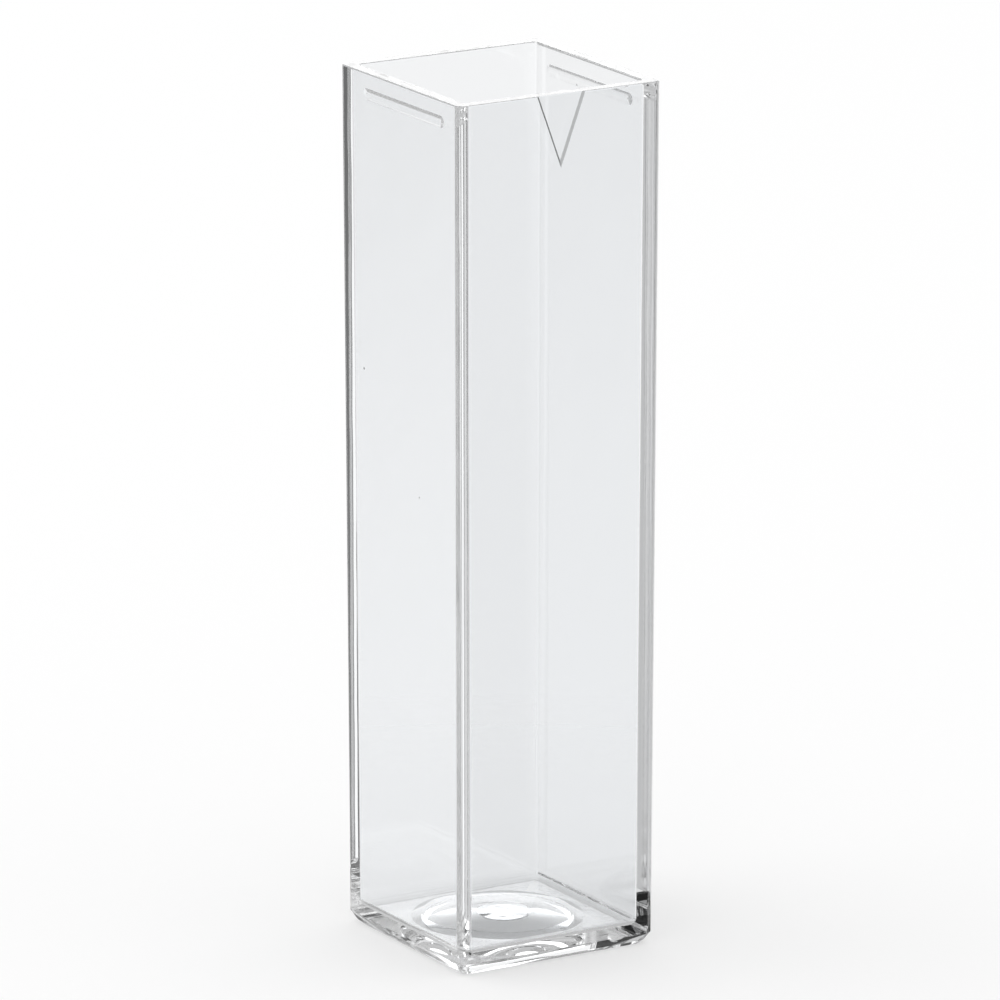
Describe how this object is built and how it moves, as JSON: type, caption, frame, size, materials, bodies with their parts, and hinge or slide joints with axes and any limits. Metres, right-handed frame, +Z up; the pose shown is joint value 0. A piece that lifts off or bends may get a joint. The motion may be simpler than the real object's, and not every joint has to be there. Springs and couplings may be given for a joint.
{
  "type": "cuvette",
  "caption": "Clear square cuvette moulded in one piece: open mouth, slim drafted walls, pointer mark under the rim, domed floor and a slimmer foot.",
  "frame": {"origin": "centre of the square foot, on the surface it stands on", "axes": "+Z up along the cuvette towards its open mouth; the pointer mark is on the -Y side; the beads are inside the -X and +X sides"},
  "size_m": [0.0118, 0.0118, 0.045],
  "materials": {
    "clear_polystyrene": "clear, glossy, moulded"
  },
  "bodies": {
    "root": {"cuvette": "clear_polystyrene"}
  },
  "joints": []
}
